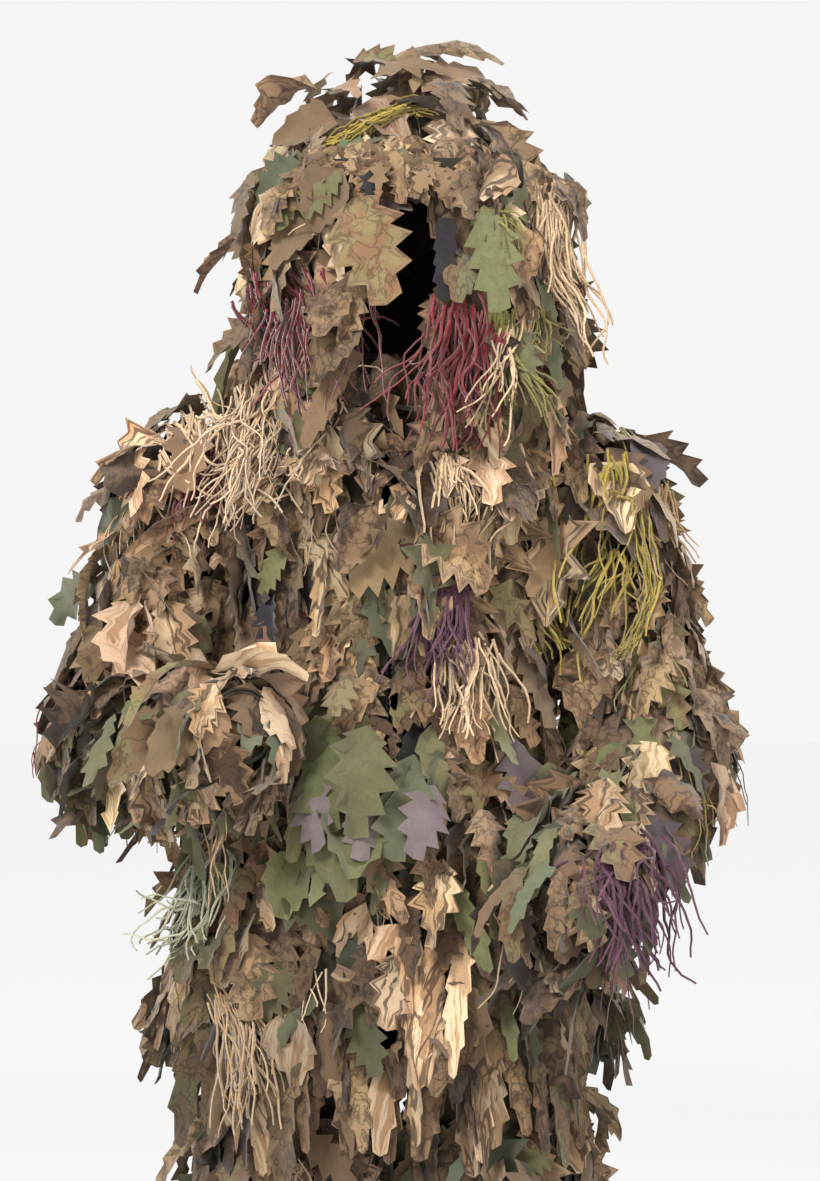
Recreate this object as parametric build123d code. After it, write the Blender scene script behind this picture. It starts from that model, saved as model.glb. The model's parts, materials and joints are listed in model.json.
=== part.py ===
from build123d import *
from math import atan2, cos, radians, sin, sqrt
import os

# Leaf-covered ghillie suit, held in the shape it takes when worn: a hooded zip
# jacket with bent sleeves, a lift-up face veil, and elasticated trousers.
# Millimetres. +Z up, the chest faces -Y, the wearer's right is -X.
# The origin is the base of the wearer's neck.

FABRIC = 1.5          # base cloth thickness
SEAM = 1.0            # gap left at a sewn joint between two solids
RUN = 2.0             # clearance between pieces that move past each other
TORSO_LEAVES = 14.0   # depth of the leaf cover on the body
ARM_LEAVES = 18.0     # depth of the leaf cover on the sleeves
LEG_LEAVES = 18.0     # depth of the leaf cover on the trouser legs
BIG = 1000.0
ARC_STEPS = 12

# Jacket body: height, half width and half depth of the cloth, centre depth.
FRONT_Y = -135.0      # the zip runs straight down this plane
ZIP_TOP = -64.0
HEM_Z = -606.0
TORSO = [
    (-15.0, 95.0, 85.0, -10.0),
    (-60.0, 150.0, 110.0, FRONT_Y + 110.0),
    (-150.0, 148.0, 126.0, FRONT_Y + 126.0),
    (-210.0, 142.0, 126.0, FRONT_Y + 126.0),
    (-330.0, 147.0, 120.0, FRONT_Y + 120.0),
    (-450.0, 178.0, 142.0, FRONT_Y + 142.0),
    (-540.0, 202.0, 158.0, FRONT_Y + 158.0),
    (HEM_Z, 212.0, 164.0, FRONT_Y + 164.0),
]
ZIP_SLOT = 14.0       # half width of the gap between the two fronts

# Sleeves: joint centres on the wearer's right and left.
SHOULDER = {"right": (-195.0, 0.0, -78.0), "left": (195.0, 0.0, -78.0)}
ELBOW = {"right": (-272.0, -20.0, -330.0), "left": (272.0, -20.0, -340.0)}
WRIST = {"right": (-140.0, -220.0, -320.0), "left": (155.0, -218.0, -500.0)}
UPPER_R = (54.0, 46.0)
LOWER_R = (46.0, 38.0)
SHOULDER_HOLE_R = 46.0
ELBOW_BEND = {"right": -10.0, "left": -6.0}      # furthest bend past the rest pose
KNEE_BEND = 70.0
DISH_X = 120.0        # where the dish cut round each armhole starts
DISH_R = 14.0
DISH_DEPTH = 120.0
DISH_SLOPE = 0.339

# Hood: height, half width and half depth of the leaf cover's outside.
HOOD_X = 15.0
HOOD_Y = 10.0
HOOD_LEAVES = 24.0
HOOD = [
    (6.0, 116.0, 122.0),
    (60.0, 138.0, 136.0),
    (140.0, 145.0, 140.0),
    (220.0, 132.0, 128.0),
    (280.0, 98.0, 98.0),
    (315.0, 42.0, 46.0),
]
FACE = (-62.0, 92.0, 40.0, 216.0)     # face opening: x from and to, z from and to
FACE_BACK_Y = -40.0

# Veil over the face: an elliptical curtain in two halves below a brow band.
VEIL_Y = -20.0
VEIL_A = 150.0
VEIL_B = 135.0
VEIL_LEAVES = 14.0
VEIL_TOP = 208.0
VEIL_BOTTOM = -20.0
BROW_BAND = 26.0
VEIL_SLOT = (-28.0, 50.0)

# Trousers.
HIP = {"right": (-98.0, 0.0, -590.0), "left": (98.0, 0.0, -590.0)}
KNEE = {"right": (-123.0, 0.0, -1010.0), "left": (123.0, 0.0, -1010.0)}
ANKLE = {"right": (-150.0, 0.0, -1445.0), "left": (150.0, 0.0, -1445.0)}
THIGH_R = (80.0, 70.0)
SHIN_R = (70.0, 58.0)
THIGH_LEAF_START = 116.0
SEAT = [
    (-430.0, 145.0, 108.0),
    (-500.0, 160.0, 116.0),
    (-584.0, 184.0, 120.0),
]


def ellipse_solid(sections, grow=0.0):
    """Ruled loft through (z, half width, half depth, centre y, centre x) rings."""
    rings = []
    for z, a, b, cy, cx in sections:
        rings.append(Pos(cx, cy, z) * Ellipse(a + grow, b + grow))
    return loft(rings, ruled=True)


def ellipse_shell(sections, inner, outer):
    """Wall between two offsets of the same lofted form, open at both ends."""
    z0, a0, b0, y0, x0 = sections[0]
    z1, a1, b1, y1, x1 = sections[-1]
    up = 5.0 if z0 > z1 else -5.0
    longer = [(z0 + up, a0, b0, y0, x0)] + sections + [(z1 - up, a1, b1, y1, x1)]
    return ellipse_solid(sections, outer) - ellipse_solid(longer, inner)


def frustum(start, end, r0, r1, lengthen=0.0):
    """Cone between two points; the far end can run on past its point."""
    v = Vector(*end) - Vector(*start)
    length = v.length + lengthen
    r_end = r0 + (r1 - r0) * length / v.length
    plane = Plane(origin=start, z_dir=v)
    middle = Pos(0, 0, length / 2)
    if abs(r_end - r0) < 1e-6:
        return plane * middle * Cylinder(r0, length)
    return plane * middle * Cone(r0, r_end, length)


def ball(centre, r):
    return Pos(*centre) * Sphere(r)


def along(start, end, distance):
    """Point at a distance from start towards end."""
    v = Vector(*end) - Vector(*start)
    p = Vector(*start) + v * (distance / v.length)
    return (p.X, p.Y, p.Z)


def span(start, end):
    return (Vector(*end) - Vector(*start)).length


def box(x0, x1, y0, y1, z0, z1):
    return Pos((x0 + x1) / 2, (y0 + y1) / 2, (z0 + z1) / 2) * Box(x1 - x0, y1 - y0, z1 - z0)


def limb_outline(length, radii, grow, gap_r, from_z):
    """Half outline (radius, distance) of a ball that runs on as a cone."""
    r0 = radii[0] + grow
    slope = (radii[1] - radii[0]) / length
    if from_z is None:
        turns = [radians(-90 + 90 * i / ARC_STEPS) for i in range(ARC_STEPS + 1)]
        points = [(r0 * cos(t), r0 * sin(t)) for t in turns]
        points[0] = (0.0, -r0)
    else:
        points = [(r0 + slope * from_z, from_z)]
    if gap_r is None:
        return points + [(r0 + slope * length, length)]
    # the cone ends on the clearance ball round the far joint centre
    a = 1 + slope * slope
    b = 2 * (r0 * slope - length)
    c = r0 * r0 + length * length - gap_r * gap_r
    z = (-b - sqrt(b * b - 4 * a * c)) / (2 * a)
    return points + [(r0 + slope * z, z)]


def limb_shell(start, end, radii, inner, outer, gap_r=None, from_z=None):
    """Wall between two offsets of a limb, turned about the line between its joints."""
    length = span(start, end)
    outside = limb_outline(length, radii, outer, gap_r, from_z)
    inside = limb_outline(length, radii, inner, gap_r, from_z)
    rim = []
    if gap_r is not None:
        t0 = atan2(outside[-1][0], length - outside[-1][1])
        t1 = atan2(inside[-1][0], length - inside[-1][1])
        for i in range(1, ARC_STEPS):
            t = t0 + (t1 - t0) * i / ARC_STEPS
            rim.append((gap_r * sin(t), length - gap_r * cos(t)))
    outline = outside + rim + inside[::-1]
    face = Plane.XZ * make_face(Polyline(*outline, close=True))
    turned = revolve(face, Axis.Z)
    return Plane(origin=start, z_dir=Vector(*end) - Vector(*start)) * turned


def bend_cut(shape, joint, upper_end, lower_end, axis, bend, reach_r):
    """Clear the inside of a bend for the lower limb at its most bent angle."""
    up = (Vector(*upper_end) - Vector(*joint)).normalized()
    lower = (Vector(*lower_end) - Vector(*joint)).normalized().rotate(Axis((0, 0, 0), axis), bend)
    normal = (up - lower * up.dot(lower)).normalized()
    frame = Plane(origin=joint, x_dir=lower, z_dir=normal)
    half = 130.0
    block = Pos(half, 0, reach_r - half) * Box(2 * half, 2 * half, 2 * half)
    return shape - frame * block


def one_solid(shape):
    """The largest solid of a cut, so that no loose chip is kept."""
    return max(shape.solids(), key=lambda s: s.volume)


parts = {}


# ---------------------------------------------------------------- jacket body
def torso_sections():
    return [(z, a, b, cy, 0.0) for z, a, b, cy in TORSO]


def cut_armholes(shape, clearance):
    """Take away what both sleeves sweep as they turn about their crosswise axes."""
    for side, sign in (("right", -1), ("left", 1)):
        x, y, z = SHOULDER[side]
        shape -= ball((x, y, z), UPPER_R[0] + ARM_LEAVES + clearance)
        # the upper sleeve leans away from the body, so it sweeps a dish
        dish = Plane(origin=(sign * DISH_X, y, z), z_dir=(sign, 0, 0))
        wide = DISH_R + DISH_DEPTH / DISH_SLOPE
        shape -= dish * Pos(0, 0, DISH_DEPTH / 2) * Cone(DISH_R, wide, DISH_DEPTH)
    return shape


torso = torso_sections()
cloth = cut_armholes(ellipse_shell(torso, -FABRIC, 0.0), RUN + 0.5)
leaves = cut_armholes(ellipse_shell(torso, SEAM, TORSO_LEAVES), RUN + 0.5)
back_y = -12.0
back_half = box(-BIG, BIG, back_y + SEAM / 2, BIG, -BIG, BIG)
front_half = {
    "right": box(-BIG, -ZIP_SLOT, -BIG, back_y - SEAM / 2, -BIG, BIG),
    "left": box(ZIP_SLOT, BIG, -BIG, back_y - SEAM / 2, -BIG, BIG),
}
parts["back_panel"] = one_solid(cloth & back_half)
parts["back_leaf_layer"] = one_solid(leaves & back_half)
for side in ("right", "left"):
    parts[side + "_front_panel"] = one_solid(cloth & front_half[side])
    parts[side + "_front_leaf_layer"] = one_solid(leaves & front_half[side])

# stand-up collar with an open front where the two fronts meet
COLLAR_TOP = 3.0
collar = [(COLLAR_TOP, 94.0, 84.0, -10.0, 0.0), (-15.0 + SEAM, 95.0, 85.0, -10.0, 0.0)]
parts["collar_band"] = one_solid(
    ellipse_shell(collar, -3.0, 0.0) - box(-ZIP_SLOT, ZIP_SLOT, -BIG, 0, -BIG, BIG)
)

# hanger loop sewn inside the back of the neck
LOOP_R = 11.0
LOOP_CORD_R = 1.8
loop_plane = Plane(origin=(0, 66.0, -28.0), z_dir=(0, 1, 0))
parts["hanger_loop"] = loop_plane * Torus(LOOP_R, LOOP_CORD_R)

# hem elastic, just inside the bottom edge of the jacket
hem = [(z, a, b, cy, cx) for z, a, b, cy, cx in torso if z <= -540.0]
hem_band = ellipse_shell(hem, -FABRIC - SEAM - 2.0, -FABRIC - SEAM)
hem_band &= box(-BIG, BIG, -BIG, BIG, HEM_Z + 1, HEM_Z + 22)
parts["hem_elastic"] = one_solid(hem_band - box(-ZIP_SLOT, ZIP_SLOT, -BIG, 0, -BIG, BIG))

# ------------------------------------------------------------------------ zip
ZIP_BOTTOM = HEM_Z + 8.0
TAPE_X = (1.0, ZIP_SLOT - SEAM)
TEETH_X = (1.2, 3.4)
TOOTH_PITCH = 5.0
TAPE_Y = (FRONT_Y - 0.4, FRONT_Y + 0.6)
TEETH_Y = (FRONT_Y - 1.9, FRONT_Y + 2.1)
for side, sign in (("right", -1), ("left", 1)):
    x0, x1 = sorted((sign * (TEETH_X[1] + SEAM / 2), sign * TAPE_X[1]))
    parts["zip_tape_" + side] = box(x0, x1, *TAPE_Y, ZIP_BOTTOM - 6, ZIP_TOP)
    x0, x1 = sorted((sign * 2.2, sign * TEETH_X[1]))
    teeth = box(x0, x1, FRONT_Y - 0.7, FRONT_Y + 0.9, ZIP_BOTTOM + 4, ZIP_TOP - 2)
    count = int((ZIP_TOP - ZIP_BOTTOM - 12) / TOOTH_PITCH)
    x0, x1 = sorted((sign * TEETH_X[0], sign * TEETH_X[1]))
    row = []
    for i in range(count):
        z = ZIP_BOTTOM + 6 + i * TOOTH_PITCH
        row.append(box(x0, x1, *TEETH_Y, z, z + 2.4))
    parts["zip_teeth_" + side] = teeth.fuse(*row)
parts["zip_bottom_box"] = box(-4.5, 4.5, FRONT_Y - 2.4, FRONT_Y + 2.4, ZIP_BOTTOM - 5, ZIP_BOTTOM + 3) - (
    box(-6, -TEETH_X[1], FRONT_Y - 0.8, FRONT_Y + 1.0, -BIG, BIG)
    + box(TEETH_X[1], 6, FRONT_Y - 0.8, FRONT_Y + 1.0, -BIG, BIG)
)

SLIDER_Z = ZIP_TOP - 22.0
SLIDER_H = 14.0
front_plate = box(-6.5, 6.5, FRONT_Y - 4.2, FRONT_Y - 2.7, SLIDER_Z - SLIDER_H / 2, SLIDER_Z + SLIDER_H / 2)
back_plate = box(-6.5, 6.5, FRONT_Y + 2.9, FRONT_Y + 4.4, SLIDER_Z - SLIDER_H / 2, SLIDER_Z + SLIDER_H / 2)
post = box(-0.6, 0.6, FRONT_Y - 3.0, FRONT_Y + 3.2, SLIDER_Z + 2, SLIDER_Z + SLIDER_H / 2)
slider = front_plate + back_plate + post
for sign in (-1, 1):
    for y0, y1 in ((FRONT_Y - 3.0, FRONT_Y - 1.2), (FRONT_Y + 1.4, FRONT_Y + 3.2)):
        x0, x1 = sorted((sign * 5.0, sign * 6.5))
        slider += box(x0, x1, y0, y1, SLIDER_Z - SLIDER_H / 2, SLIDER_Z + SLIDER_H / 2)
# bail: two ears and a round bar that the pull hangs on
BAR_R = 0.9
BAR_Y = FRONT_Y - 7.2
for sign in (-1, 1):
    x0, x1 = sorted((sign * 3.0, sign * 4.2))
    slider += box(x0, x1, BAR_Y - 1.4, FRONT_Y - 4.0, SLIDER_Z - 1.6, SLIDER_Z + 1.6)
bar_plane = Plane(origin=(0, BAR_Y, SLIDER_Z), z_dir=(1, 0, 0))
slider += bar_plane * Cylinder(BAR_R, 7.4)
parts["zip_slider"] = one_solid(slider)
eye = bar_plane * Cylinder(BAR_R + 1.1, 4.8)
tab = box(-2.4, 2.4, BAR_Y - 0.8, BAR_Y + 0.8, SLIDER_Z - 8.0, SLIDER_Z)
tab += box(-4.0, 4.0, BAR_Y - 0.8, BAR_Y + 0.8, SLIDER_Z - 32.0, SLIDER_Z - 7.0)
tab -= Pos(0, BAR_Y, SLIDER_Z - 26.0) * Rot(90, 0, 0) * Cylinder(2.0, 6)
parts["zip_pull_tab"] = one_solid(eye + tab - bar_plane * Cylinder(BAR_R + 0.08, 12))


# -------------------------------------------------------------------- sleeves
for side, sign in (("right", -1), ("left", 1)):
    s, e, w = SHOULDER[side], ELBOW[side], WRIST[side]
    elbow_r = LOWER_R[0] + ARM_LEAVES
    axis = (Vector(*w) - Vector(*e)).cross(Vector(*e) - Vector(*s)).normalized()
    # the sleeve head opens towards the body, along the shoulder's own axis
    head_hole = Plane(origin=s, z_dir=(-sign, 0, 0)) * Pos(0, 0, 60) * Cylinder(SHOULDER_HOLE_R, 120)
    layers = {"_upper_sleeve": (0.0, FABRIC), "_upper_sleeve_leaf_layer": (FABRIC + SEAM, ARM_LEAVES)}
    for name, (inner, outer) in layers.items():
        shape = limb_shell(s, e, UPPER_R, inner, outer, elbow_r + RUN) - head_hole
        shape = bend_cut(shape, e, s, w, axis, ELBOW_BEND[side], elbow_r + RUN)
        parts[side + name] = one_solid(shape)

    # lower sleeve: a ball at the elbow, open towards the upper sleeve
    entry = frustum(e, s, LOWER_R[0] - 4, LOWER_R[0] - 4)
    layers = {"_lower_sleeve": (0.0, FABRIC), "_lower_sleeve_leaf_layer": (FABRIC + SEAM, ARM_LEAVES)}
    for name, (inner, outer) in layers.items():
        parts[side + name] = one_solid(limb_shell(e, w, LOWER_R, inner, outer) - entry)

    # cuff elastic inside the sleeve end
    length = span(e, w)
    cuff_start = along(e, w, length - 20)
    cuff_end = along(e, w, length - 2)
    r = LOWER_R[1] - SEAM
    parts[side + "_cuff_elastic"] = frustum(cuff_start, cuff_end, r, r) - frustum(
        along(e, w, length - 21), cuff_end, r - 2, r - 2, 5
    )


# ----------------------------------------------------------------------- hood
def hood_solid(inset):
    """Hood form drawn in by an inset, its crown lowered by the same amount."""
    rings = []
    for z, a, b in HOOD:
        top = HOOD[-1][0]
        base = HOOD[0][0]
        shrunk = base + (z - base) * (top - inset - base) / (top - base)
        rings.append((shrunk, max(a - inset, 12.0), max(b - inset, 12.0), HOOD_Y, HOOD_X))
    below = rings[0]
    start = (below[0] - 0.01,) + below[1:] if inset == 0 else (below[0] - 5,) + below[1:]
    return ellipse_solid([start] + rings if inset else rings)


face_cut = box(FACE[0], FACE[1], -BIG, FACE_BACK_Y, FACE[2], FACE[3])
hood_floor = box(-BIG, BIG, -BIG, BIG, -BIG, HOOD[0][0])
hood_cover = hood_solid(0.0) - hood_solid(HOOD_LEAVES - FABRIC - SEAM) - face_cut - hood_floor
hood_cloth = hood_solid(HOOD_LEAVES - FABRIC) - hood_solid(HOOD_LEAVES) - face_cut - hood_floor
CENTRE_STRIP = 45.0
RIM_GAP = 0.6
for side, x0, x1 in (
    ("right", -BIG, HOOD_X - SEAM / 2),
    ("left", HOOD_X + SEAM / 2, BIG),
):
    parts["hood_leaf_layer_" + side] = one_solid(hood_cover & box(x0, x1, -BIG, BIG, -BIG, BIG))
for name, x0, x1 in (
    ("hood_right_panel", -BIG, HOOD_X - CENTRE_STRIP),
    ("hood_centre_panel", HOOD_X - CENTRE_STRIP + SEAM, HOOD_X + CENTRE_STRIP - SEAM),
    ("hood_left_panel", HOOD_X + CENTRE_STRIP, BIG),
):
    parts[name] = one_solid(hood_cloth & box(x0, x1, -BIG, BIG, -BIG, BIG))

# rim elastic round the face opening, in a channel behind the cloth's edge
rim_outer = hood_solid(HOOD_LEAVES + RIM_GAP)
rim_inner = hood_solid(HOOD_LEAVES + RIM_GAP + 3.0)
rim_zone = box(FACE[0] - 9, FACE[1] + 9, -BIG, FACE_BACK_Y - 20, FACE[2] - 9, FACE[3] + 9)
rim_hole = box(FACE[0] - 2, FACE[1] + 2, -BIG, FACE_BACK_Y, FACE[2] - 2, FACE[3] + 2)
parts["hood_rim_elastic"] = one_solid(((rim_outer - rim_inner) & rim_zone) - rim_hole)


# ----------------------------------------------------------------------- veil
def curtain(inner, outer, z0, z1):
    ring = Pos(HOOD_X, VEIL_Y, 0) * (
        Ellipse(VEIL_A + outer, VEIL_B + outer) - Ellipse(VEIL_A + inner, VEIL_B + inner)
    )
    return extrude(Pos(0, 0, z0) * ring, z1 - z0) & box(-BIG, BIG, -BIG, VEIL_Y - 52, -BIG, BIG)


parts["veil_brow_band"] = curtain(0.0, 3.0, VEIL_TOP + SEAM, VEIL_TOP + BROW_BAND)
for side, x0, x1 in (("right", -BIG, VEIL_SLOT[0]), ("left", VEIL_SLOT[1], BIG)):
    half = box(x0, x1, -BIG, BIG, -BIG, BIG)
    parts["veil_" + side + "_panel"] = one_solid(curtain(0.0, 1.2, VEIL_BOTTOM, VEIL_TOP) & half)
    parts["veil_" + side + "_leaf_layer"] = one_solid(
        curtain(1.2 + SEAM, VEIL_LEAVES, VEIL_BOTTOM, VEIL_TOP) & half
    )

# ------------------------------------------------------------------- trousers
seat = ellipse_shell([(z, a, b, 0.0, 0.0) for z, a, b in SEAT], -FABRIC, 0.0)
for side in ("right", "left"):
    seat -= ball(HIP[side], THIGH_R[0] + FABRIC + RUN)
parts["trousers_seat"] = one_solid(seat)
band = [(-395.0, 140.0, 104.0, 0.0, 0.0), (-430.0 + SEAM, 145.0, 108.0, 0.0, 0.0)]
parts["waistband_elastic"] = ellipse_shell(band, -3.0, 0.0)

for side in ("right", "left"):
    h, k, a = HIP[side], KNEE[side], ANKLE[side]
    knee_r = SHIN_R[0] + LEG_LEAVES
    opening = Pos(h[0], h[1], h[2] + 60) * Cylinder(66.0, 120)
    layers = {
        "_thigh": (0.0, FABRIC, None),
        "_thigh_leaf_layer": (FABRIC + SEAM, LEG_LEAVES, THIGH_LEAF_START),
    }
    for name, (inner, outer, from_z) in layers.items():
        shape = limb_shell(h, k, THIGH_R, inner, outer, knee_r + RUN, from_z)
        if from_z is None:
            shape -= opening
        shape = bend_cut(shape, k, h, a, (1, 0, 0), KNEE_BEND, knee_r + RUN)
        parts[side + name] = one_solid(shape)

    entry = frustum(k, h, SHIN_R[0] - 6, SHIN_R[0] - 6)
    layers = {"_shin": (0.0, FABRIC), "_shin_leaf_layer": (FABRIC + SEAM, LEG_LEAVES)}
    for name, (inner, outer) in layers.items():
        parts[side + name] = one_solid(limb_shell(k, a, SHIN_R, inner, outer) - entry)
    length = span(k, a)
    r = SHIN_R[1] - SEAM
    ring_end = along(k, a, length - 2)
    parts[side + "_ankle_elastic"] = frustum(along(k, a, length - 24), ring_end, r, r) - frustum(
        along(k, a, length - 25), ring_end, r - 2, r - 2, 5
    )

os.makedirs("parts", exist_ok=True)
for name, shape in parts.items():
    shape = one_solid(shape) if len(shape.solids()) > 1 else shape
    shape.label = name
    export_step(shape, "parts/" + name + ".step")
print(len(parts), "parts")
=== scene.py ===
import bpy
import json
import math
import numpy as np
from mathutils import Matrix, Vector
from mathutils.bvhtree import BVHTree


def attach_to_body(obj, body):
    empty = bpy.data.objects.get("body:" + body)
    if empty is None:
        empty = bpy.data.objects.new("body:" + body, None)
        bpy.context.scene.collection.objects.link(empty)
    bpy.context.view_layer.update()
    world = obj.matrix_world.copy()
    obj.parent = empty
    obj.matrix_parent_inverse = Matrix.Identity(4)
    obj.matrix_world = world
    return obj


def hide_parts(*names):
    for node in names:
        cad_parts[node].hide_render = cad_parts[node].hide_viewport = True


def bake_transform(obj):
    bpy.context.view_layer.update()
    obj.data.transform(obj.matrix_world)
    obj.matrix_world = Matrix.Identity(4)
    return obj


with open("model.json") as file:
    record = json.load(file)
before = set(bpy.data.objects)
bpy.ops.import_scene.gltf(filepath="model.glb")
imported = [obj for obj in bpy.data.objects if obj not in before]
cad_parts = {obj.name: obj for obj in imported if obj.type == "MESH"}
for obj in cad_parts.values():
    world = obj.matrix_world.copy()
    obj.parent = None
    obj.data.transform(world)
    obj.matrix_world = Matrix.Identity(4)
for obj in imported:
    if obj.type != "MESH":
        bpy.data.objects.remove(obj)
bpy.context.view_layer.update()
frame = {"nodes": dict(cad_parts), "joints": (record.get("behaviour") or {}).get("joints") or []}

# A leaf-covered ghillie suit. Cloth leaves and yarn tufts are grown on the
# outside of the CAD leaf layers, over wrinkled base cloth. Metres, front is -Y.

SEED = 11
bpy.context.scene.view_settings.view_transform = "Standard"
rng = np.random.default_rng(SEED)
NODES = frame["nodes"]
JOINTS = {j["name"]: j for j in frame["joints"]}

SHOULDER = {"right": (-0.195, 0.0, -0.078), "left": (0.195, 0.0, -0.078)}
ELBOW = {s: tuple(JOINTS[s + "_elbow_straighten"]["pos_m"]) for s in SHOULDER}
WRIST = {"right": (-0.140, -0.220, -0.320), "left": (0.155, -0.218, -0.500)}
HIP = {"right": (-0.098, 0.0, -0.590), "left": (0.098, 0.0, -0.590)}
KNEE = {"right": (-0.123, 0.0, -1.010), "left": (0.123, 0.0, -1.010)}
ANKLE = {"right": (-0.150, 0.0, -1.445), "left": (0.150, 0.0, -1.445)}
HOOD_AXIS = ((0.015, 0.010, 0.0), (0.015, 0.010, 0.19))
TORSO_AXIS = ((0.0, -0.010, -0.06), (0.0, 0.025, -0.606))
SIDES = {"right": -1, "left": 1}      # and the sign of x on that side


# ------------------------------------------------------------------ materials
def srgb(r, g, b):
    """Linear colour from 0-255 screen values."""
    return tuple(((c / 255) ** 2.2) for c in (r, g, b)) + (1.0,)


class Nodes:
    """Shorthand for building a node tree."""

    def __init__(self, tree):
        self.tree = tree

    def add(self, kind, inputs=None, **settings):
        node = self.tree.nodes.new(kind)
        for key, value in settings.items():
            setattr(node, key, value)
        return self.feed(node, inputs or {})

    def feed(self, node, inputs):
        """Link each input of a node, or set it to a plain value."""
        for key, value in inputs.items():
            if isinstance(value, bpy.types.NodeSocket):
                self.tree.links.new(value, node.inputs[key])
            else:
                node.inputs[key].default_value = value
        return node

    def mix(self, factor, a, b, blend="MIX"):
        node = self.add("ShaderNodeMix", data_type="RGBA", blend_type=blend)
        return self.feed(node, {0: factor, 6: a, 7: b}).outputs[2]

    def ramp(self, factor, stops):
        node = self.add("ShaderNodeValToRGB", {"Fac": factor})
        ramp = node.color_ramp
        while len(ramp.elements) < len(stops):
            ramp.elements.new(1.0)
        for element, (position, colour) in zip(ramp.elements, stops):
            element.position = position
            element.color = colour
        return node.outputs["Color"]

    def math(self, operation, a, b=0.0):
        return self.add("ShaderNodeMath", {0: a, 1: b}, operation=operation).outputs[0]

    def noise(self, coords, scale, detail, roughness=0.5):
        inputs = {"Vector": coords, "Scale": scale, "Detail": detail, "Roughness": roughness}
        return self.add("ShaderNodeTexNoise", inputs).outputs["Fac"]

    def principled(self, colour, roughness, bump=None, **more):
        """Principled shader. bump is its strength, its distance in metres and its height socket."""
        inputs = {"Base Color": colour, "Roughness": roughness}
        inputs.update({name.replace("_", " "): value for name, value in more.items()})
        if bump:
            shape = self.add("ShaderNodeBump", dict(zip(("Strength", "Distance", "Height"), bump)))
            inputs["Normal"] = shape.outputs["Normal"]
        return self.add("ShaderNodeBsdfPrincipled", inputs).outputs["BSDF"]

    def surface(self, shader):
        self.add("ShaderNodeOutputMaterial", {"Surface": shader})


def new_material(name):
    material = bpy.data.materials.new(name)
    material.use_nodes = True
    material.node_tree.nodes.clear()
    return material, Nodes(material.node_tree)


def grey(value):
    return (value, value, value, 1.0)


BLACK = grey(0.0)
WHITE = grey(1.0)


def cloth_output(n, colour, coords, weave=900.0, rough=0.9, translucent=0.12):
    """Matt woven cloth with a little light coming through."""
    threads = n.noise(coords, weave, 2.0, 0.7)
    crease = n.noise(coords, 60.0, 3.0, 0.6)
    height = n.math("ADD", n.math("MULTIPLY", threads, 0.35), crease)
    colour = n.mix(1.0, colour, n.ramp(threads, [(0.3, grey(0.82)), (0.7, grey(1.1))]), "MULTIPLY")
    shader = n.principled(colour, rough, (0.35, 0.004, height), Sheen_Weight=0.25, Sheen_Roughness=0.6,
                          Specular_IOR_Level=0.2)
    if translucent:
        glow = n.add("ShaderNodeBsdfTranslucent", {"Color": colour})
        mixed = n.add("ShaderNodeMixShader", {0: translucent, 1: shader, 2: glow.outputs["BSDF"]})
        shader = mixed.outputs[0]
    n.surface(shader)


def leaf_coords(n):
    """Coordinates across the uncut cloth, so that each leaf shows its own piece of print."""
    return n.add("ShaderNodeAttribute", attribute_name="cut_from").outputs["Vector"]


def with_tone_and_painted_shade(n, colour):
    # this attribute is each leaf's own tone times the painted shade given to inner coats; for yarn it is the
    # yarn's colour
    tint = n.add("ShaderNodeAttribute", attribute_name="tint").outputs["Color"]
    return n.mix(1.0, colour, tint, "MULTIPLY")


def twig_lines(n, coords, scale, width):
    """Thin wandering dark lines: twigs and bark cracks in the print."""
    bent = n.add("ShaderNodeTexNoise", {"Vector": coords, "Scale": scale * 0.8, "Detail": 3.0})
    shift = n.mix(0.11, coords, bent.outputs["Color"], "ADD")
    cells = n.add("ShaderNodeTexVoronoi", {"Vector": shift, "Scale": scale}, feature="DISTANCE_TO_EDGE")
    return n.ramp(cells.outputs["Distance"], [(0.0, WHITE), (width, WHITE), (width * 2.2, BLACK)])


def print_material(name, ground, blotch, dark, scale, line_scale, line_width, stretch=(1.0, 1.0, 1.0),
                   twigs=0.55):
    """Printed camouflage cloth: two grounds, dark blotches and twig lines."""
    material, n = new_material(name)
    coords = leaf_coords(n)
    long_way = n.add("ShaderNodeMapping", {"Vector": coords, "Scale": stretch}).outputs["Vector"]
    broad = n.noise(long_way, scale, 5.0, 0.6)
    fine = n.noise(long_way, scale * 3.1, 6.0, 0.7)
    colour = n.ramp(broad, [(0.45, ground), (0.53, blotch)])
    colour = n.mix(n.ramp(fine, [(0.54, BLACK), (0.62, grey(0.5))]), colour, dark)
    if twigs:
        lines = twig_lines(n, long_way, line_scale, line_width)
        colour = n.mix(n.math("MULTIPLY", lines, twigs), colour, dark)
    cloth_output(n, with_tone_and_painted_shade(n, colour), coords)
    return material


def plain_material(name, colour, shade, translucent=0.15, rough=0.9, vein=0.35):
    """Dyed leaf cloth with pressed veins."""
    material, n = new_material(name)
    coords = leaf_coords(n)
    mixed = n.mix(n.noise(coords, 22.0, 4.0), shade, colour)
    mixed = n.mix(n.math("MULTIPLY", twig_lines(n, coords, 38.0, 0.03), vein), mixed, shade)
    cloth_output(n, with_tone_and_painted_shade(n, mixed), coords, translucent=translucent, rough=rough)
    return material


def yarn_material():
    """Loose spun yarn, coloured by its own tint."""
    material, n = new_material("yarn")
    coords = leaf_coords(n)
    fibres = n.noise(coords, 500.0, 3.0)
    colour = with_tone_and_painted_shade(n, n.ramp(fibres, [(0.25, grey(0.6)), (0.75, grey(1.15))]))
    n.surface(n.principled(colour, 0.85, (0.5, 0.001, fibres), Sheen_Weight=0.4, Specular_IOR_Level=0.25))
    return material


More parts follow.
